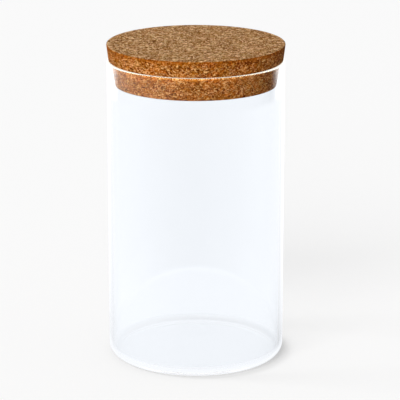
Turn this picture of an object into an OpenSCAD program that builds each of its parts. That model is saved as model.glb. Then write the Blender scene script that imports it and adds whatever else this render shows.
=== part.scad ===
// A straight-sided glass storage jar with a push-in cork lid.
// Z is up, the origin is the middle of the ring that the jar stands on, and all sizes are in millimetres.
// Both pieces are revolves. The glass is a cylinder of even wall. The lid is one moulded block of
// agglomerated cork: its cap and plug have a draft, so that it leaves its mould and wedges in the mouth.

/* [Glass body] */
// Outside diameter of the glass
jar_d = 100; // [70:1:140]
// Height of the glass from the table to the top of its rim
jar_h = 172; // [90:1:260]
// Thickness of the cylinder wall, which the rim is rounded to
wall_t = 2.4; // [1.6:0.1:4]

/* [Glass base] */
// Thickness of the floor
floor_t = 3; // [2:0.1:6]
// Outside radius of the heel, where the wall turns into the base
heel_r = 6; // [4.5:0.5:12]
// Width of the flat ring that the jar stands on
foot_w = 3; // [1.5:0.5:8]
// How far the middle of the base is pushed up off the table
push_up = 1.2; // [0.4:0.1:3]

/* [Cork cap] */
// Thickness of the cap, the part of the lid above the rim
cap_t = 9.3; // [5:0.1:20]
// How far the cap's top edge stands out past the glass
cap_over = 0.2; // [0:0.1:6]
// Slope of the cap's side, in degrees from upright
cap_draft = 6.5; // [0:0.5:15]

/* [Cork plug] */
// Depth of the plug below the cap
plug_h = 13.4; // [8:0.2:30]
// Slope of the plug's side, in degrees from upright
plug_draft = 8.7; // [0:0.1:12]
// Width of the sanded bevel on the cork's outer edges
edge_bevel = 0.6; // [0.2:0.1:1.5]

/* [Fit] */
// Gap between the widest ring of the plug and the glass round it
plug_gap = 0.15; // [0.05:0.05:0.5]
// Gap between the cap's underside and the top of the rim
seat_gap = 0.1; // [0.05:0.05:0.5]

/* [Hidden] */
$fn = 180;

// Glass
jar_r = jar_d / 2;
bore_r = jar_r - wall_t;
rim_r = wall_t / 2;
inner_heel_r = heel_r - wall_t;
push_up_r = jar_r - heel_r - foot_w;

// Cork
lid_z = jar_h + seat_gap;
cap_top_r = jar_r + cap_over;
cap_low_r = cap_top_r - cap_t * tan(cap_draft);
plug_top_r = bore_r - plug_gap;
plug_low_r = plug_top_r - plug_h * tan(plug_draft);

glass_colour = [0.93, 0.97, 0.98, 0.35];
cork_colour = [0.72, 0.47, 0.25];

// Half section of an upright block of radius r and height h,
// whose lower outer corner is an arc of radius corner_r
module round_bottomed_section(r, h, corner_r) {
    square([r - corner_r, h]);
    translate([0, corner_r]) square([r, h - corner_r]);
    translate([r - corner_r, corner_r]) circle(r = corner_r);
}

// Half section of the pushed-up base: the cap of a ball,
// push_up high and push_up_r in radius where it meets z = 0
module push_up_section() {
    ball_r = (push_up_r ^ 2 + push_up ^ 2) / (2 * push_up);
    intersection() {
        translate([0, push_up - ball_r]) circle(r = ball_r, $fn = 8 * $fn);
        square([jar_r, 2 * push_up]);
    }
}

// Half section of the room inside the glass, whose floor follows the pushed-up base
module room_section() {
    difference() {
        round_bottomed_section(bore_r, jar_h, inner_heel_r);
        push_up_section();
    }
}

module glass_jar() {
    color(glass_colour) rotate_extrude() {
        difference() {
            round_bottomed_section(jar_r, jar_h - rim_r, heel_r);
            translate([0, floor_t]) room_section();
            push_up_section();
        }
        // The fire-polished rim, a full round on the top of the wall
        translate([jar_r - rim_r, jar_h - rim_r]) circle(r = rim_r);
    }
}

// Half section of a drafted cork disc that stands on z = 0 with its edges bevelled:
// low_r and top_r are its radii at heights 0 and h
module cork_disc_section(low_r, top_r, h, low_bevel, top_bevel) {
    slope = (top_r - low_r) / h;
    polygon([
        [0, 0],
        [low_r - low_bevel, 0],
        [low_r + slope * low_bevel, low_bevel],
        [top_r - slope * top_bevel, h - top_bevel],
        [top_r - top_bevel, h],
        [0, h]
    ]);
}

module cork_lid() {
    color(cork_colour) translate([0, 0, lid_z]) rotate_extrude() {
        cork_disc_section(cap_low_r, cap_top_r, cap_t, edge_bevel, edge_bevel);
        translate([0, -plug_h]) cork_disc_section(plug_low_r, plug_top_r, plug_h, edge_bevel, 0);
    }
}

glass_jar();
cork_lid();
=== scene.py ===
"""Glass storage jar with a push-in cork lid: the looks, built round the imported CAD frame.

Sizes are in metres and Z is up. The origin is the middle of the ring that the jar stands on.
The glass and the lid are bodies of revolution, so each is a profile carried round the Z axis.
"""

import math

import bpy
import numpy as np
from bpy.props import FloatProperty, FloatVectorProperty, IntProperty, PointerProperty
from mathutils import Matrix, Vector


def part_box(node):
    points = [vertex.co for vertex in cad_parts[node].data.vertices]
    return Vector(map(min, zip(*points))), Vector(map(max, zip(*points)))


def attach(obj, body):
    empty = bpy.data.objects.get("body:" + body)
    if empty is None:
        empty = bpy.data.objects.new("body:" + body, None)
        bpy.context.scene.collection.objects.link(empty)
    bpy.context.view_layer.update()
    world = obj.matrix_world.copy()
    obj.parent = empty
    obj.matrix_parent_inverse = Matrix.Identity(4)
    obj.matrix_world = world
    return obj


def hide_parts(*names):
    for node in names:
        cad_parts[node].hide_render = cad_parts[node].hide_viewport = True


bl_info = {
    "name": "Glass Jar with Cork Lid",
    "version": (1, 0, 0),
    "blender": (4, 5, 0),
    "location": "View3D > Sidebar > Cork Jar",
    "description": "Builds a glass storage jar, its cork lid and a plain studio round it",
    "category": "Add Mesh",
}

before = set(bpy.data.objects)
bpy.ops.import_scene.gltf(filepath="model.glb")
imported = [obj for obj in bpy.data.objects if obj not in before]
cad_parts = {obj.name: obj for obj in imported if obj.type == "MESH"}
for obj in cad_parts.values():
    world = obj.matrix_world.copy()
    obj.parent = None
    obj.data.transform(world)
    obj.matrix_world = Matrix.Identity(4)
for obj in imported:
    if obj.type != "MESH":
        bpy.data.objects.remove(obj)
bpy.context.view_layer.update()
glass_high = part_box("glass_jar")[1]
lid_low, lid_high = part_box("cork_lid")

MM = 0.001


# Sizes and colours

def length(name, description, default):
    """A size in metres that a user would change."""
    return FloatProperty(
        name=name, description=description, default=default, min=0.0, unit="LENGTH", precision=5
    )


def colour(name, description, default):
    """A linear RGB colour that a user would change."""
    return FloatVectorProperty(
        name=name, description=description, default=default, size=3, min=0.0, max=4.0, subtype="COLOR"
    )


def amount(name, description, default, smallest=0.0, largest=1000.0):
    """A share or level that a user would change."""
    return FloatProperty(
        name=name, description=description, default=default, min=smallest, max=largest
    )


class GlassJarSettings(bpy.types.PropertyGroup):
    """Sizes and finish of the glass."""

    outer_radius: length("Outer radius", "Outside radius of the cylinder", glass_high.x)
    height: length("Height", "Height of the rim above the table", glass_high.z)
    wall: length("Wall", "Thickness of the cylinder wall", 2.4 * MM)
    rim_radius: length("Rim radius", "Radius of the fire-polished edges of the rim", 0.7 * MM)
    floor: length("Floor", "Thickness of the floor", 3.0 * MM)
    heel_radius: length("Heel radius", "Outside radius where the wall turns into the base", 6.0 * MM)
    foot_width: length("Foot width", "Width of the flat ring that the jar stands on", 3.0 * MM)
    push_up: length("Push-up", "How far the middle of the base is raised", 1.2 * MM)
    segments: IntProperty(name="Segments", description="Steps round the glass", default=288, min=24)
    tint: colour("Tint", "Colour of light that has passed through the glass", (0.985, 0.995, 1.0))
    # The rim's colour is a painted reflection: clear glass given the warm colour of the cork that the rim mirrors
    # and bends
    rim_painted_reflection: colour("Rim tint", "Colour that the rim takes from the cork that sits on it", (1.0, 0.92, 0.70))
    ior: amount("IOR", "Refractive index of the glass", 1.47, smallest=1.0)
    rim_glow: amount("Rim glow", "Extra light that the rounded rim gathers on the cork", 0.5)
    heel_shade: amount("Heel shade", "Share of light that the rounded heel turns away", 1.0, largest=1.0)


class CorkLidSettings(bpy.types.PropertyGroup):
    """Sizes and finish of the cork."""

    cap_top_radius: length("Cap top radius", "Radius of the cap at its top edge", lid_high.x + 0.03 * MM)
    cap_low_radius: length("Cap low radius", "Radius of the cap at its lower edge", 49.14 * MM)
    cap_thickness: length("Cap thickness", "Thickness of the part above the rim", 9.3 * MM)
    plug_top_radius: length("Plug top radius", "Radius of the plug under the cap", 47.45 * MM)
    plug_low_radius: length("Plug low radius", "Radius of the plug at its bottom", 45.4 * MM)
    edge_radius: length("Edge radius", "Radius of the worn edges", 0.6 * MM)
    granule: length("Granule", "Mean size of the pressed granules", 3.2 * MM)
    pit_spacing: length("Pit spacing", "Size of the cells that the pits are drawn from", 1.7 * MM)
    relief: length("Relief", "Depth of the pits where a granule is lost", 0.22 * MM)
    segments: IntProperty(name="Segments", description="Steps round the lid", default=560, min=24)
    dark_colour: colour("Side dark", "Colour of seams and bark on the sides", (0.115, 0.020, 0.001))
    body_colour: colour("Side body", "Main colour of the granules on the sides", (0.462, 0.133, 0.010))
    pale_colour: colour("Side pale", "Colour of the palest flakes on the sides", (0.80, 0.42, 0.16))
    # The three top colours are the cork's own colours on the level faces, cut flat by sanding, with a painted
    # sheen in them: the pale veil these faces show at a glancing view
    top_dark_colour: colour("Top dark", "Colour of seams and bark on the sanded faces", (0.130, 0.038, 0.005))
    top_body_colour: colour("Top body", "Main colour of the granules on the sanded faces", (0.468, 0.221, 0.069))
    top_pale_colour: colour("Top pale", "Colour of the palest flakes on the sanded faces", (0.98, 0.68, 0.38))


class StudioSettings(bpy.types.PropertyGroup):
    """The table, the light and the camera."""

    floor_colour: colour("Floor colour", "Colour that the table shows", (0.922, 0.922, 0.922))
    backlight: colour("Backlight", "Colour of the room that shows through the glass", (0.930, 0.945, 0.980))
    lit_share: amount("Lit share", "How much light the table sends back", 0.497, largest=1.0)
    lit_level: amount("Lit level", "What the lit share comes to under these lamps", 0.45)
    ceiling: FloatVectorProperty(
        name="Ceiling", description="Colour and brightness of the light overhead that the rim mirrors",
        default=(10.5, 7.0, 2.8), size=3, min=0.0, subtype="COLOR",
    )
    through_level: amount("Through level", "Level of the room that shows straight through the glass", 1.11)
    horizon_level: amount("Horizon level", "Level of the room behind the table, for the table's colour", 1.033)
    heel_level: amount("Heel level", "Level of the table that shows through the heel", 1.08)
    base_level: amount("Base level", "Level of the table that shows through the base", 1.05)
    shadow_in_glass: amount("Shadow in glass", "Share of the jar's shadow that shows through its base", 0.25)
    guided_level: amount("Guided level", "Level of the light that the wall has guided", 1.3)
    ambient: amount("Ambient", "Level of the light from all round", 0.22)
    key: amount("Key", "Strength of the front sun lamp", 3.45)
    side: amount("Side", "Strength of the left sun lamp", 1.25)
    lens: FloatProperty(name="Lens", description="Focal length of the camera", default=203.8, unit="CAMERA")


# Surfaces

def arc(centre_r, centre_z, radius, start, end, steps):
    """Points of an arc in the (r, z) plane: the centre plus radius times (cos, sin), for angles in degrees
    from start to end."""
    angle = np.radians(np.linspace(start, end, steps + 1))
    return np.stack([centre_r + radius * np.cos(angle), centre_z + radius * np.sin(angle)], 1)


def line(start, end, steps):
    """Evenly spaced points from start to end in the (r, z) plane."""
    return np.linspace(start, end, steps + 1)


def join(*stretches):
    """One profile from stretches that meet end to start, with the shared points kept once."""
    return np.concatenate([stretches[0]] + [s[1:] for s in stretches[1:]])


def around_axis(r, z, angle):
    """Carries each (r, z) round the Z axis: the vectors (r cos a, r sin a, z) for every angle a."""
    return np.stack([
        np.outer(r, np.cos(angle)),
        np.outer(r, np.sin(angle)),
        np.repeat(z[:, None], len(angle), 1),
    ], 2)


def revolve(name, profile, segments, shift=None):
    """A closed mesh from a profile whose ends lie on the axis: each point (r, z) becomes the ring
    (r cos a, r sin a, z) for a from 0 to a full turn. The profile runs from the underside, up the outside
    and back to the axis, so the faces point outwards. shift(points, normals), if given, moves the rings."""
    angle = np.linspace(0, 2 * np.pi, segments, endpoint=False)
    ring_r, ring_z = profile[1:-1, 0], profile[1:-1, 1]
    rings = around_axis(ring_r, ring_z, angle)
    if shift is not None:
        along = np.gradient(profile, axis=0)[1:-1]
        out_r, out_z = along[:, 1], -along[:, 0]
        size = np.hypot(out_r, out_z)
        rings = shift(rings, around_axis(out_r / size, out_z / size, angle))
    ends = np.array([[0, 0, profile[0, 1]], [0, 0, profile[-1, 1]]])
    points = np.concatenate([rings.reshape(-1, 3), ends])

    count = len(ring_r)
    here = np.arange(segments)
    following = (here + 1) % segments
    base = (np.arange(count - 1) * segments)[:, None]
    quads = np.stack([base + here, base + following, base + segments + following, base + segments + here], 2)
    first_pole, last_pole = count * segments, count * segments + 1
    last_ring = (count - 1) * segments
    caps = np.concatenate([
        np.stack([np.full(segments, first_pole), following, here], 1),
        np.stack([np.full(segments, last_pole), last_ring + here, last_ring + following], 1),
    ])
    mesh = bpy.data.meshes.new(name)
    mesh.from_pydata(points.tolist(), [], quads.reshape(-1, 4).tolist() + caps.tolist())
    mesh.shade_smooth()
    piece = bpy.data.objects.new(name, mesh)
    bpy.context.scene.collection.objects.link(piece)
    return piece


# A cube's four random numbers are the fractions of sin(cube . CUBE_STEPS + seed) times NUMBER_STEPS
CUBE_STEPS = np.array([127.1, 311.7, 74.7])
NUMBER_STEPS = np.array([43758.5453, 22578.1459, 19642.349, 65497.81])


def cell_noise(points, size, seed):
    """Cell noise at each point: space is cut in cubes of the given size, each with one random centre.
    Returns the distance to the nearest centre and that centre's random number."""
    at = points.reshape(-1, 3) / size
    cube = np.floor(at).astype(np.int64)
    nearest = np.full(len(at), np.inf)
    chosen = np.zeros(len(at))
    for step in np.stack(np.meshgrid([-1, 0, 1], [-1, 0, 1], [-1, 0, 1]), -1).reshape(-1, 3):
        corner = cube + step
        mixed = np.sin(corner @ CUBE_STEPS + seed)
        numbers = np.modf(np.abs(mixed[:, None] * NUMBER_STEPS))[0]
        distance = np.linalg.norm(corner + numbers[:, :3] - at, axis=1)
        closer = distance < nearest
        chosen = np.where(closer, numbers[:, 3], chosen)
        nearest = np.where(closer, distance, nearest)
    shape = points.shape[:-1]
    return (nearest * size).reshape(shape), chosen.reshape(shape)


# Materials

def add_node(tree, kind, inputs=None, **settings):
    """A shader node with its settings; an input is a value, or a socket that is linked to it."""
    node = tree.nodes.new(kind)
    for key, value in settings.items():
        setattr(node, key, value)
    for key, value in (inputs or {}).items():
        if isinstance(value, bpy.types.NodeSocket):
            tree.links.new(value, node.inputs[key])
        else:
            node.inputs[key].default_value = value
    return node


def maths(tree, operation, *values, clamp=False):
    """The output of a Math node."""
    node = add_node(tree, "ShaderNodeMath", dict(enumerate(values)), operation=operation, use_clamp=clamp)
    return node.outputs[0]


def rest_of(tree, value):
    """1 minus the value."""
    return maths(tree, "SUBTRACT", 1.0, value)


def swing(tree, value, amplitude, middle):
    """middle where value is 0.5, and amplitude times the difference away from it elsewhere."""
    return maths(tree, "MULTIPLY_ADD", maths(tree, "SUBTRACT", value, 0.5), amplitude, middle)


def vector_maths(tree, operation, *values, **inputs):
    """The output of a Vector Math node."""
    values = {**dict(enumerate(values)), **inputs}
    return add_node(tree, "ShaderNodeVectorMath", values, operation=operation).outputs[0]


def split(tree, vector):
    """The three parts of a vector or colour."""
    return add_node(tree, "ShaderNodeSeparateXYZ", {0: vector}).outputs


def band(tree, value, low, high):
    """Runs smoothly from 0 where value is low to 1 where it is high."""
    inputs = {"Value": value, "From Min": low, "From Max": high}
    return add_node(tree, "ShaderNodeMapRange", inputs, interpolation_type="SMOOTHSTEP").outputs["Result"]


def mix_colour(tree, factor, first, second):
    """The colour first where factor is 0 and second where it is 1."""
    return add_node(tree, "ShaderNodeMix", {0: factor, 6: first, 7: second}, data_type="RGBA").outputs[2]


def mix_value(tree, factor, first, second):
    """The number first where factor is 0 and second where it is 1."""
    return add_node(tree, "ShaderNodeMix", {0: factor, 2: first, 3: second}, data_type="FLOAT").outputs[0]


def mix_vector(tree, factor, first, second):
    """The vector first where factor is 0 and second where it is 1."""
    return add_node(tree, "ShaderNodeMix", {0: factor, 4: first, 5: second}, data_type="VECTOR").outputs[1]


def noise(tree, vector, scale, detail, roughness=0.6, output=0):
    """Soft noise between 0 and 1; output 1 is a colour of three such noises."""
    inputs = {"Vector": vector, "Scale": scale, "Detail": detail, "Roughness": roughness}
    return add_node(tree, "ShaderNodeTexNoise", inputs).outputs[output]


def opaque(shade):
    """A linear RGB colour with full alpha."""
    return (*shade, 1.0)


def grey(level):
    """A grey of this level with full alpha."""
    return (level, level, level, 1.0)


def grey_from(tree, level):
    """A grey whose level is a socket."""
    return add_node(tree, "ShaderNodeCombineColor", {0: level, 1: level, 2: level}).outputs[0]


def new_material(name):
    """An empty node material and its tree."""
    material = bpy.data.materials.new(name)
    material.use_nodes = True
    material.node_tree.nodes.clear()
    return material, material.node_tree


IN_GLASS = ("Is Glossy Ray", "Is Transmission Ray")
LOOKING = ("Is Camera Ray", *IN_GLASS)


def ray_share(tree, path, *kinds):
    """1 for a ray of any of these kinds of Light Path."""
    share = path.outputs[kinds[0]]
    for kind in kinds[1:]:
        share = maths(tree, "MAXIMUM", share, path.outputs[kind])
    return share


def mirrored(tree, path, times):
    """1 for a ray that the glass has mirrored this many times or more, in its surface or inside its wall."""
    return maths(tree, "GREATER_THAN", path.outputs["Glossy Depth"], times - 0.5)


# A ray mirrored this many times or more is one that the wall has guided
GUIDED = 3
# Heights between which the heel turns light away, from not at all to fully
HEEL_BAND = (4.8 * MM, 2.8 * MM)
# Depths below the top of the rim, as shares of the wall, between which the glass comes to count as rim
RIM_BAND = (0.6, 0.4)


def glass_material(settings):
    """Clear glass. Light for other surfaces goes straight through it, less what a glancing surface and the
    rounded heel turn away, so the table gets a soft shadow of the thick heel and not the noise of traced
    light. The rim's glass has a painted warm reflection of the cork in its colour, and it gathers light on the
    cork. A ray that the wall has guided leaves it, so the rim doesn't fill with black."""
    material, tree = new_material("clear_glass")
    path = add_node(tree, "ShaderNodeLightPath")
    lights_others = ray_share(tree, path, "Is Shadow Ray", "Is Diffuse Ray")
    facing = add_node(tree, "ShaderNodeLayerWeight", {"Blend": 0.5}).outputs["Facing"]
    grazing = maths(tree, "POWER", facing, 5.0)
    upward = split(tree, add_node(tree, "ShaderNodeNewGeometry").outputs["Normal"])[2]
    height = split(tree, add_node(tree, "ShaderNodeTexCoord").outputs["Object"])[2]

    # flat (1 - flat) is at most a quarter, where the heel is at 45 degrees, so 4 times it is at most 1
    flat = maths(tree, "MULTIPLY", upward, upward)
    bent = maths(tree, "MULTIPLY", flat, rest_of(tree, flat))
    bent = maths(tree, "MULTIPLY", bent, band(tree, height, *HEEL_BAND))
    lost = maths(tree, "MULTIPLY_ADD", bent, 4.0 * settings.heel_shade, grazing, clamp=True)
    lost = maths(tree, "MULTIPLY", lost, lights_others)

    # Painted reflection: the rim's glass is given a warm colour for the cork it mirrors; the same mask sets where
    # the rim gathers light
    rim = band(tree, height, *(settings.height - settings.wall * depth for depth in RIM_BAND))
    glass = add_node(tree, "ShaderNodeBsdfPrincipled", {
        "Base Color": mix_colour(tree, rim, opaque(settings.tint), opaque(settings.rim_painted_reflection)),
        "Roughness": 0.0,
        "IOR": settings.ior,
        "Transmission Weight": 1.0,
    })
    gain = maths(tree, "MULTIPLY_ADD", maths(tree, "MULTIPLY", rim, lights_others), settings.rim_glow, 1.0)
    gain = maths(tree, "MULTIPLY", gain, rest_of(tree, lost))
    clear = add_node(tree, "ShaderNodeBsdfTransparent", {"Color": grey_from(tree, gain)})
    open_share = maths(tree, "MAXIMUM", lights_others, mirrored(tree, path, GUIDED))
    mixed = add_node(tree, "ShaderNodeMixShader", {0: open_share, 1: glass.outputs[0], 2: clear.outputs[0]})
    add_node(tree, "ShaderNodeOutputMaterial", {"Surface": mixed.outputs[0]})
    return material


def rotated(tree, vector, kind, turn):
    """The vector turned about the Z axis by an angle, or by three angles, as the kind of rotation says."""
    key = "Angle" if kind == "Z_AXIS" else "Rotation"
    return add_node(tree, "ShaderNodeVectorRotate", {"Vector": vector, key: turn}, rotation_type=kind).outputs[0]


def tone_colour(tree, tone, dark, body, pale):
    """The colour of a tone: dark at 0, body at 0.5 and pale at 1."""
    ramp = add_node(tree, "ShaderNodeValToRGB", {0: tone})
    ramp.color_ramp.elements.new(0.5)
    for element, shade in zip(ramp.color_ramp.elements, (dark, body, pale)):
        element.color = opaque(shade)
    return ramp.outputs[0]


# The cork's pattern. Lengths are in millimetres, and a tone runs from dark at 0 to pale at 1.
PER_METRE = 1000.0
HALF = (0.5, 0.5, 0.5)
# How level a face is, as the upward part of its normal, between the sides' pattern and colours and those of the
# level faces, which are cut flat by sanding and whose colours also hold a painted sheen
SANDED_AND_SHEEN_BAND = (0.5, 0.95)
# The granules' borders wander by up to half of WANDER, in waves of about 1 / WANDER_SCALE
WANDER, WANDER_SCALE = (3.0, 3.0, 3.0), 0.45
# Height of a granule for its width
FLATNESS = 0.7
# Ranges of the angles, in radians, that fibres lean by, and their length, width and height, on each kind of face
SIDE_LEAN, SANDED_LEAN = (0.6, 1.5, 0.8), (0.4, 0.4, math.tau)
SIDE_FIBRE, SANDED_FIBRE = (3.2, 0.62, 0.62), (3.4, 0.85, 0.85)
# Moves each granule's fibres to a part of the noise of their own
APART = (41.0, 41.0, 41.0)
# How far fibres, flakes and the fine grain swing the tone, and the waves of that grain in a millimetre
FIBRE_SWING, FLAKE_SWING, GRAIN_SWING, GRAIN_SCALE = 3.2, 0.70, 1.7, 1.25
# A granule whose random number is above PLAIN_FROM loses this share of its fibres and flakes
PLAIN_FROM, PLAIN_LOSS = 0.80, -0.6
# The tone of a granule is GRANULE_TONE plus up to GRANULE_SPREAD
GRANULE_TONE, GRANULE_SPREAD = 0.39, 0.20
# A flake is pale or dark where its random number is above these, and ends between these distances, in cells
PALE_FROM, DARK_FROM, FLAKE_BAND = 0.78, 0.86, (0.62, 0.34)
# Seams end between these distances from a granule's border, in cells, and are dark only round some granules
SEAM_BAND, SEAM_CHANCE_BAND = (0.10, 0.02), (0.1, 0.7)
SEAM_DARKNESS, FLAKE_DARKNESS = 0.6, 0.7
FLAKE_PALENESS, PALE_TONE = 0.8, 0.95


def granule_pattern(tree, settings, in_mm, sanded_and_sheen):
    """The cork's tone and the three random numbers of each granule. Space is cut in flattened cells, the
    granules. Each has its own tone, and fibres and flakes that lie its own way: on the sides near to level
    along the surface, and on the level faces, which are cut flat by sanding, any way in the plane. Dark seams run
    between the granules, and the pits where a granule is lost are painted dark, as painted shade in the hollows."""
    wander = vector_maths(tree, "SUBTRACT", noise(tree, in_mm, WANDER_SCALE, 2.0, roughness=0.5, output=1), HALF)
    bent = vector_maths(tree, "MULTIPLY_ADD", wander, WANDER, in_mm)
    wide = settings.granule * PER_METRE
    size = (wide, wide, FLATNESS * wide)
    at = vector_maths(tree, "DIVIDE", bent, size)
    cells = {"Vector": at, "Scale": 1.0}
    granules = add_node(tree, "ShaderNodeTexVoronoi", cells)
    border = add_node(tree, "ShaderNodeTexVoronoi", cells, feature="DISTANCE_TO_EDGE").outputs["Distance"]
    centre, chance = granules.outputs["Position"], granules.outputs["Color"]
    random = split(tree, chance)

    offset = vector_maths(tree, "MULTIPLY", vector_maths(tree, "SUBTRACT", at, centre), size)
    around = maths(tree, "ARCTAN2", split(tree, centre)[1], split(tree, centre)[0])
    offset = rotated(tree, offset, "Z_AXIS", maths(tree, "SUBTRACT", -math.pi / 2, around))
    lean = mix_vector(tree, sanded_and_sheen, SIDE_LEAN, SANDED_LEAN)
    lean = vector_maths(tree, "MULTIPLY", vector_maths(tree, "SUBTRACT", chance, HALF), lean)
    lying = rotated(tree, offset, "EULER_XYZ", lean)
    lying = vector_maths(tree, "DIVIDE", lying, mix_vector(tree, sanded_and_sheen, SIDE_FIBRE, SANDED_FIBRE))
    lying = vector_maths(tree, "MULTIPLY_ADD", chance, APART, lying)

    flake = add_node(tree, "ShaderNodeTexVoronoi", {"Vector": lying, "Scale": 1.0})
    flake_random = split(tree, flake.outputs["Color"])
    streaks = maths(tree, "MULTIPLY_ADD", maths(tree, "GREATER_THAN", random[1], PLAIN_FROM), PLAIN_LOSS, 1.0)
    inner = swing(tree, noise(tree, lying, 1.0, 2.0), FIBRE_SWING, 0.0)
    inner = swing(tree, flake_random[2], FLAKE_SWING, inner)
    tone = maths(tree, "MULTIPLY_ADD", random[0], GRANULE_SPREAD, GRANULE_TONE)
    tone = maths(tree, "MULTIPLY_ADD", inner, streaks, tone)
    tone = swing(tree, noise(tree, in_mm, GRAIN_SCALE, 1.0), GRAIN_SWING, tone)

    inside = band(tree, flake.outputs["Distance"], *FLAKE_BAND)
    pale_flake = maths(tree, "MULTIPLY", maths(tree, "GREATER_THAN", flake_random[0], PALE_FROM), inside)
    dark_flake = maths(tree, "MULTIPLY", maths(tree, "GREATER_THAN", flake_random[1], DARK_FROM), inside)
    seam = maths(tree, "MULTIPLY", band(tree, border, *SEAM_BAND), band(tree, random[2], *SEAM_CHANCE_BAND))
    hollow = add_node(tree, "ShaderNodeAttribute", attribute_name="hollow").outputs["Fac"]
    darkness = maths(
        tree, "MAXIMUM",
        maths(tree, "MULTIPLY", seam, SEAM_DARKNESS), maths(tree, "MULTIPLY", dark_flake, FLAKE_DARKNESS),
    )
    # The pits are painted dark: painted shade in the hollows where a granule is lost
    darkness = maths(tree, "MAXIMUM", darkness, hollow)
    tone = maths(tree, "MULTIPLY", tone, rest_of(tree, darkness))
    return mix_value(tree, maths(tree, "MULTIPLY", pale_flake, FLAKE_PALENESS), tone, PALE_TONE), random


# Heights in millimetres: below the top edge, where the cap's side is painted darker as shade under the edge, and
# from the seat, where a ring of the plug is painted paler as the light that the glass rim gathers on it, and where
# the plug starts
UNDER_EDGE_SHADE_BAND, UNDER_EDGE_SHADE_LOSS = (-3.5, -0.6), -0.32
RIM_LIGHT_BAND, RIM_LIGHT_PALENESS = (-2.2, -0.8), 0.35
PLUG_BAND, PLUG_EVENNESS, PLUG_TONE = (0.3, 0.0), 0.15, 0.82
# A hue of 0.5 changes nothing, so the granules differ only slightly
HUE_LOW, HUE_SPREAD = 0.495, 0.010
# Height of the fine relief, as a multiple of the pits' depth
BUMP_GAIN = 2.2


def cork_material(settings):
    """Pressed cork in millimetres: the pattern of its granules, with colours of their own for the sides and for
    the level faces, which are cut flat by sanding; the level faces' colours also hold a painted sheen. The cap's
    side is painted darker just under its top edge, as shade, the plug is a little more even, and a ring of the
    plug just under the cap is painted paler, as the light that the glass rim gathers on the cork."""
    material, tree = new_material("pressed_cork")
    coordinates = add_node(tree, "ShaderNodeTexCoord")
    in_mm = vector_maths(tree, "SCALE", coordinates.outputs["Object"], Scale=PER_METRE)
    sanded_and_sheen = band(tree, maths(tree, "ABSOLUTE", split(tree, coordinates.outputs["Normal"])[2]), *SANDED_AND_SHEEN_BAND)
    tone, random = granule_pattern(tree, settings, in_mm, sanded_and_sheen)

    height = split(tree, in_mm)[2]
    top = lid_high.z * PER_METRE
    seat = top - settings.cap_thickness * PER_METRE
    # Painted shade: the cap's side is darker just under its top edge
    painted_shade_under_edge = band(tree, height, *(top + step for step in UNDER_EDGE_SHADE_BAND))
    painted_shade_under_edge = maths(tree, "MULTIPLY", painted_shade_under_edge, rest_of(tree, sanded_and_sheen))
    on_plug = band(tree, height, *(seat + step for step in PLUG_BAND))
    # Painted light: a ring of the plug just under the cap is paler, for the light that the glass rim gathers on it
    painted_rim_light = maths(tree, "MULTIPLY", band(tree, height, *(seat + step for step in RIM_LIGHT_BAND)), on_plug)
    tone = maths(tree, "MULTIPLY", tone, maths(tree, "MULTIPLY_ADD", painted_shade_under_edge, UNDER_EDGE_SHADE_LOSS, 1.0))
    tone = mix_value(tree, maths(tree, "MULTIPLY", on_plug, PLUG_EVENNESS), tone, PLUG_TONE)
    tone = mix_value(tree, maths(tree, "MULTIPLY", painted_rim_light, RIM_LIGHT_PALENESS), tone, 1.0)

    # The level faces take their own colours, which hold a painted sheen as well as the cork's colour
    shade = mix_colour(
        tree, sanded_and_sheen,
        tone_colour(tree, tone, settings.dark_colour, settings.body_colour, settings.pale_colour),
        tone_colour(tree, tone, settings.top_dark_colour, settings.top_body_colour, settings.top_pale_colour),
    )
    hue = maths(tree, "MULTIPLY_ADD", random[2], HUE_SPREAD, HUE_LOW)
    shade = add_node(tree, "ShaderNodeHueSaturation", {"Hue": hue, "Color": shade}).outputs[0]
    bump = add_node(tree, "ShaderNodeBump", {
        "Strength": 1.0, "Distance": settings.relief * BUMP_GAIN, "Height": tone,
    })
    cork = add_node(tree, "ShaderNodeBsdfPrincipled", {
        "Base Color": shade,
        "Roughness": 0.75,
        "IOR": 1.45,
        "Specular IOR Level": 0.03,
        "Normal": bump.outputs[0],
    })
    add_node(tree, "ShaderNodeOutputMaterial", {"Surface": cork.outputs[0]})
    return material


# How bright the room that the glass mirrors is, by the angle in degrees from straight behind the jar towards
# its left: for the near part of the table and the world, and for the far part of the table
ROOM = (
    (0.0, 1.12), (22.0, 1.10), (48.0, 0.93), (82.0, 0.82), (116.0, 0.50), (143.0, 0.30), (170.0, 0.10),
    (222.0, 0.10), (250.0, 0.30), (275.0, 0.62), (312.0, 0.92), (338.0, 1.10), (360.0, 1.12),
)
FAR_ROOM = (
    (0.0, 1.08), (29.0, 1.10), (34.0, 1.90), (41.0, 2.10), (50.0, 1.95), (57.0, 1.50), (60.0, 0.75),
    (84.0, 0.72), (110.0, 0.62), (143.0, 0.38), (170.0, 0.10), (222.0, 0.04), (280.0, 0.02), (294.0, 0.05),
    (299.0, 0.50), (304.0, 0.95), (308.0, 1.60), (313.0, 2.00), (324.0, 2.15), (330.0, 1.15), (360.0, 1.08),
)
# Distances from the jar's axis between which the table goes over to its far part, and those under the heel
# and under the base
FAR_BAND, HEEL_REACH, BASE_REACH = (0.655, 0.683), (0.062, 0.054), (0.0435, 0.0415)
FAR_TINT = (0.985, 0.965, 0.955)
# Upward parts of a direction between which the room goes over to the light overhead, and its colour
OVERHEAD_BAND, OVERHEAD_COLOUR = (0.45, 0.60), (1.08, 1.00, 0.90)


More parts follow.
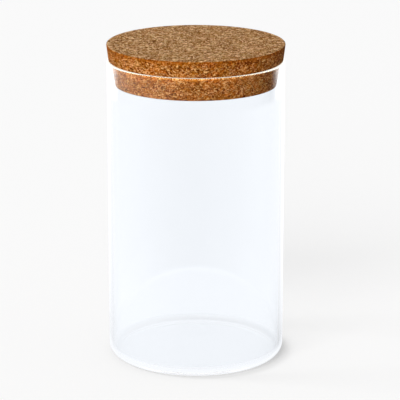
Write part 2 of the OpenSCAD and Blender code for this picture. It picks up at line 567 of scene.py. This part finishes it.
def room_level(tree, x, y, table):
    """How bright the room is round the jar, for what glass and sheen mirror: the level runs over the table
    in straight lines from one angle to the next."""
    turn = maths(tree, "ARCTAN2", maths(tree, "MULTIPLY", x, -1.0), y)
    turn = maths(tree, "FRACT", maths(tree, "DIVIDE", turn, math.tau))
    ramp = add_node(tree, "ShaderNodeValToRGB", {0: turn})
    elements = ramp.color_ramp.elements
    while len(elements) < len(table):
        elements.new(0.5)
    for element, (angle, level) in zip(elements, table):
        element.position = angle / 360.0
        element.color = grey(level)
    return ramp.outputs[0]


def floor_material(settings):
    """A plain pale table. Part of its colour is lit, so that it keeps the jar's shadow, and the rest is the
    colour itself. What the glass mirrors of it follows the room round the jar. Seen straight through the
    glass, and under the jar, it is even."""
    material, tree = new_material("pale_table")
    path = add_node(tree, "ShaderNodeLightPath")
    in_glass = ray_share(tree, path, *IN_GLASS)
    once = mirrored(tree, path, 1)
    x, y = split(tree, add_node(tree, "ShaderNodeTexCoord").outputs["Object"])[:2]
    away = maths(tree, "ADD", maths(tree, "MULTIPLY", x, x), maths(tree, "MULTIPLY", y, y))
    away = maths(tree, "SQRT", away)
    far = band(tree, away, *FAR_BAND)
    under_jar = band(tree, away, *HEEL_REACH)
    under_base = band(tree, away, *BASE_REACH)

    room = mix_colour(tree, far, room_level(tree, x, y, ROOM), room_level(tree, x, y, FAR_ROOM))
    room = mix_colour(tree, once, grey(settings.through_level), room)
    room = mix_colour(tree, mirrored(tree, path, GUIDED), room, grey(settings.guided_level))
    room = mix_colour(tree, under_jar, room, grey(settings.heel_level))
    room = mix_colour(tree, under_base, room, grey(settings.base_level))
    tint = mix_colour(tree, maths(tree, "MULTIPLY", far, once), opaque(settings.backlight), opaque(FAR_TINT))

    # The lit part is taken off what the camera sees and off the share of it that shows through the glass
    kept = maths(tree, "MULTIPLY", under_jar, settings.shadow_in_glass)
    through = vector_maths(tree, "MULTIPLY", room, tint)
    through = vector_maths(tree, "MULTIPLY_ADD", kept, (-settings.lit_level,) * 3, through)
    straight = np.array(settings.floor_colour) - settings.lit_level
    lit_amount = maths(tree, "MULTIPLY", kept, settings.lit_share)
    lit_amount = mix_value(tree, in_glass, settings.lit_share, lit_amount)

    lit = add_node(tree, "ShaderNodeBsdfDiffuse", {"Color": grey_from(tree, lit_amount)})
    glow = add_node(tree, "ShaderNodeEmission", {
        "Color": mix_colour(tree, in_glass, opaque(straight), through),
        "Strength": ray_share(tree, path, *LOOKING),
    })
    both = add_node(tree, "ShaderNodeAddShader", {0: lit.outputs[0], 1: glow.outputs[0]})
    add_node(tree, "ShaderNodeOutputMaterial", {"Surface": both.outputs[0]})
    return material


def background(tree, shade, strength):
    """A world background of this colour and strength."""
    return add_node(tree, "ShaderNodeBackground", {"Color": shade, "Strength": strength}).outputs[0]


def studio_world(settings):
    """Even light from all round. The camera sees the table's colour. What the glass and the cork's sheen
    mirror follows the room round the jar, with a brighter ceiling light for what they mirror at once."""
    world = bpy.data.worlds.new("studio")
    world.use_nodes = True
    tree = world.node_tree
    tree.nodes.clear()
    path = add_node(tree, "ShaderNodeLightPath")
    toward = split(tree, add_node(tree, "ShaderNodeTexCoord").outputs["Generated"])
    upward = band(tree, toward[2], *OVERHEAD_BAND)
    # Ray Depth is one more than the number of bounces here, so this is at most one bounce
    first = maths(tree, "LESS_THAN", path.outputs["Ray Depth"], 2.5)
    at_once = maths(tree, "MULTIPLY", first, path.outputs["Is Singular Ray"])

    shade = room_level(tree, toward[0], toward[1], ROOM)
    shade = mix_colour(tree, mirrored(tree, path, 1), grey(settings.through_level), shade)
    shade = mix_colour(tree, upward, shade, opaque(OVERHEAD_COLOUR))
    shade = mix_colour(tree, mirrored(tree, path, GUIDED), shade, grey(settings.guided_level))
    shade = vector_maths(tree, "MULTIPLY", shade, tuple(settings.backlight))
    shade = mix_colour(tree, maths(tree, "MULTIPLY", upward, at_once), shade, opaque(settings.ceiling))

    seen = add_node(tree, "ShaderNodeMixShader", {
        0: ray_share(tree, path, *IN_GLASS),
        1: background(tree, opaque(settings.floor_colour), settings.horizon_level),
        2: background(tree, shade, 1.0),
    })
    mixed = add_node(tree, "ShaderNodeMixShader", {
        0: ray_share(tree, path, *LOOKING),
        1: background(tree, grey(1.0), settings.ambient),
        2: seen.outputs[0],
    })
    add_node(tree, "ShaderNodeOutputWorld", {"Surface": mixed.outputs[0]})
    return world


# Operators

# A ring this close to the rim keeps the shading of the wall below it straight
RIM_SUPPORT = 0.15 * MM
# A pit is in each cell whose random number is above PIT_FROM. Its radius is PIT_FLAT x PIT_REACH cells, and it
# falls to its full depth over PIT_REACH cells, so its middle is flat.
PIT_FROM, PIT_REACH, PIT_FLAT, PIT_SEED = 0.975, 0.3, 1.6, 4.0
# The table is a square of half this size, a little below the foot ring
TABLE_HALF, TABLE_DROP = 4.0, 0.1 * MM
# Where the camera stands, and how many degrees it looks down
CAMERA_PLACE, CAMERA_DOWN = (2.3 * MM, -1242.3 * MM, 444.9 * MM), 15.95


class CORKJAR_OT_glass(bpy.types.Operator):
    """Build the glass: one wall with a rounded rim, a rounded heel and a pushed-up base."""

    bl_idname = "corkjar.glass"
    bl_label = "Glass jar"

    def execute(self, context):
        s = context.scene.cork_jar_glass
        rim = s.rim_radius
        bore = s.outer_radius - s.wall
        inner_heel = s.heel_radius - s.wall
        low_rim = s.height - rim
        top_wall = low_rim - RIM_SUPPORT
        heel_at = s.outer_radius - s.heel_radius
        rise_r = heel_at - s.foot_width
        ball = (rise_r ** 2 + s.push_up ** 2) / (2 * s.push_up)
        tilt = math.degrees(math.asin(rise_r / ball))
        profile = join(
            arc(0, s.push_up - ball, ball, 90, 90 - tilt, 20),
            line((rise_r, 0), (heel_at, 0), 3),
            arc(heel_at, s.heel_radius, s.heel_radius, -90, 0, 20),
            line((s.outer_radius, s.heel_radius), (s.outer_radius, top_wall), 12),
            line((s.outer_radius, top_wall), (s.outer_radius, low_rim), 1),
            arc(s.outer_radius - rim, low_rim, rim, 0, 90, 10),
            line((s.outer_radius - rim, s.height), (bore + rim, s.height), 1),
            arc(bore + rim, low_rim, rim, 90, 180, 10),
            line((bore, low_rim), (bore, top_wall), 1),
            line((bore, top_wall), (bore, s.floor + inner_heel), 12),
            arc(heel_at, s.floor + inner_heel, inner_heel, 0, -90, 16),
            line((heel_at, s.floor), (rise_r, s.floor), 3),
            arc(0, s.floor + s.push_up - ball, ball, 90 - tilt, 90, 20),
        )
        profile[[0, -1], 0] = 0
        piece = revolve("glass_wall", profile, s.segments)
        piece.data.materials.append(glass_material(s))
        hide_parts("glass_jar")
        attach(piece, "jar")
        return {"FINISHED"}


class CORKJAR_OT_lid(bpy.types.Operator):
    """Build the cork lid: a drafted cap on a drafted plug, with seams and pits between its granules."""

    bl_idname = "corkjar.lid"
    bl_label = "Cork lid"

    def execute(self, context):
        s = context.scene.cork_jar_lid
        top, bottom = lid_high.z, lid_low.z
        seat = top - s.cap_thickness
        edge = s.edge_radius
        profile = join(
            line((0, bottom), (s.plug_low_radius - edge, bottom), 40),
            arc(s.plug_low_radius - edge, bottom + edge, edge, -90, 0, 4),
            line((s.plug_low_radius, bottom + edge), (s.plug_top_radius, seat), 20),
            line((s.plug_top_radius, seat), (s.cap_low_radius - edge, seat), 2),
            arc(s.cap_low_radius - edge, seat + edge, edge, -90, 0, 4),
            line((s.cap_low_radius, seat + edge), (s.cap_top_radius, top - edge), 15),
            arc(s.cap_top_radius - edge, top - edge, edge, 0, 90, 4),
            line((s.cap_top_radius - edge, top), (0, top), 68),
        )
        hollows = []

        def press(points, normals):
            """Moves the surface in along its normal where a granule is lost: a round pit in a few of the cells."""
            nearest, chosen = cell_noise(points, s.pit_spacing, PIT_SEED)
            pit = np.clip(PIT_FLAT - nearest / (PIT_REACH * s.pit_spacing), 0, 1)
            hollow = np.where(chosen > PIT_FROM, pit, 0.0)
            hollows.append(hollow)
            return points - normals * (hollow * s.relief)[..., None]

        piece = revolve("cork_stopper", profile, s.segments, press)
        mark = piece.data.attributes.new("hollow", "FLOAT", "POINT")
        mark.data.foreach_set("value", np.append(hollows[0].ravel(), [0.0, 0.0]).astype(np.float32))
        piece.data.materials.append(cork_material(s))
        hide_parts("cork_lid")
        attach(piece, "lid")
        return {"FINISHED"}


class CORKJAR_OT_studio(bpy.types.Operator):
    """Build the studio: a plain pale table, soft light and the camera."""

    bl_idname = "corkjar.studio"
    bl_label = "Studio"

    def execute(self, context):
        s = context.scene.cork_jar_studio
        scene = context.scene

        mesh = bpy.data.meshes.new("table")
        corners = [(-1, -1), (1, -1), (1, 1), (-1, 1)]
        points = [(x * TABLE_HALF, y * TABLE_HALF, -TABLE_DROP) for x, y in corners]
        mesh.from_pydata(points, [], [(0, 1, 2, 3)])
        table = bpy.data.objects.new("table", mesh)
        scene.collection.objects.link(table)
        table.data.materials.append(floor_material(s))

        scene.world = studio_world(s)
        self.lamp(scene, "key", s.key, spread=45, azimuth=-20, elevation=29)
        self.lamp(scene, "side", s.side, spread=20, azimuth=-92, elevation=33)

        camera = bpy.data.cameras.new("camera")
        camera.lens = s.lens
        camera.sensor_width = 36.0
        camera.clip_start = 0.05
        view = bpy.data.objects.new("camera", camera)
        view.location = CAMERA_PLACE
        view.rotation_euler = (math.radians(90 - CAMERA_DOWN), 0, 0)
        scene.collection.objects.link(view)
        scene.camera = view

        scene.view_settings.view_transform = "Standard"
        return {"FINISHED"}

    def lamp(self, scene, name, strength, spread, azimuth, elevation):
        """A sun lamp, spread over so many degrees of sky, that shines from an azimuth, counted from the camera's
        side towards the right, and an elevation."""
        lamp = bpy.data.lights.new(name, "SUN")
        lamp.energy = strength
        lamp.angle = math.radians(spread)
        source = bpy.data.objects.new(name, lamp)
        source.rotation_euler = (math.radians(90 - elevation), 0, math.radians(azimuth))
        source.visible_glossy = False
        source.visible_transmission = False
        source.visible_camera = False
        scene.collection.objects.link(source)


class CORKJAR_PT_panel(bpy.types.Panel):
    """Lists the builders and their settings in the sidebar."""

    bl_label = "Cork Jar"
    bl_idname = "CORKJAR_PT_panel"
    bl_space_type = "VIEW_3D"
    bl_region_type = "UI"
    bl_category = "Cork Jar"

    def draw(self, context):
        for name, operator in STEPS:
            settings = getattr(context.scene, name)
            box = self.layout.box()
            box.operator(operator)
            for key in settings.__annotations__:
                box.prop(settings, key)


STEPS = (
    ("cork_jar_studio", "corkjar.studio"),
    ("cork_jar_glass", "corkjar.glass"),
    ("cork_jar_lid", "corkjar.lid"),
)
SETTINGS = {
    "cork_jar_glass": GlassJarSettings,
    "cork_jar_lid": CorkLidSettings,
    "cork_jar_studio": StudioSettings,
}
CLASSES = (*SETTINGS.values(), CORKJAR_OT_glass, CORKJAR_OT_lid, CORKJAR_OT_studio, CORKJAR_PT_panel)


def register():
    """Adds the classes and the settings to Blender."""
    for cls in CLASSES:
        bpy.utils.register_class(cls)
    for name, group in SETTINGS.items():
        setattr(bpy.types.Scene, name, PointerProperty(type=group))


def unregister():
    """Takes the settings and the classes out again."""
    for name in SETTINGS:
        delattr(bpy.types.Scene, name)
    for cls in reversed(CLASSES):
        bpy.utils.unregister_class(cls)


def main():
    """Builds the jar, the lid and the studio."""
    register()
    for _, operator in STEPS:
        group, name = operator.split(".")
        getattr(getattr(bpy.ops, group), name)()


if __name__ == "__main__":
    main()
